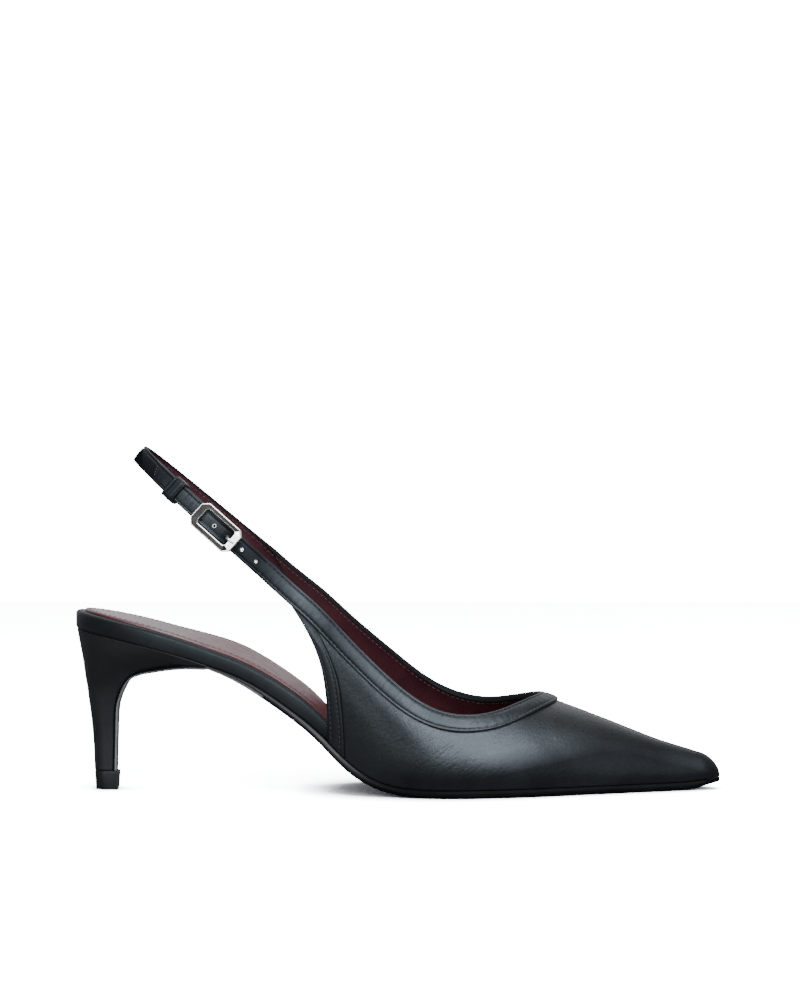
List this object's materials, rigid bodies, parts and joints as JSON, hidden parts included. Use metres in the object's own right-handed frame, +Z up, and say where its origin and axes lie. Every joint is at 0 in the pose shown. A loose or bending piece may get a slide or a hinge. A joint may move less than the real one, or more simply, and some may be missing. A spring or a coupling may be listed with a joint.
{
  "type": "slingback pump",
  "caption": "Pointed slingback pump with a slender covered heel, a topline band that goes on as the ankle strap, a keeper and a small eight-sided buckle.",
  "frame": {"origin": "on the floor under the middle of the heel's top piece", "axes": "+X from the heel to the toe, +Y to the inner side of the foot, +Z up"},
  "size_m": [0.2514, 0.0741, 0.1339],
  "materials": {
    "outsole": "gloss black sole leather",
    "insole_board": "smooth black leather wrap",
    "sock": "glossy dark burgundy lining leather",
    "heel": "matt black heel cover",
    "top_piece": "matt black",
    "upper": "smooth black leather with a soft satin shine",
    "topline_strap": "smooth black leather with a soft satin shine",
    "keeper": "smooth black leather",
    "buckle": "polished"
  },
  "bodies": {
    "root": {"outsole": "outsole", "insole_board": "insole_board", "sock": "sock", "heel": "heel", "top_piece": "top_piece", "upper": "upper", "topline_strap": "topline_strap", "keeper": "keeper", "buckle_frame": "buckle", "buckle_prong": "buckle"}
  },
  "joints": []
}
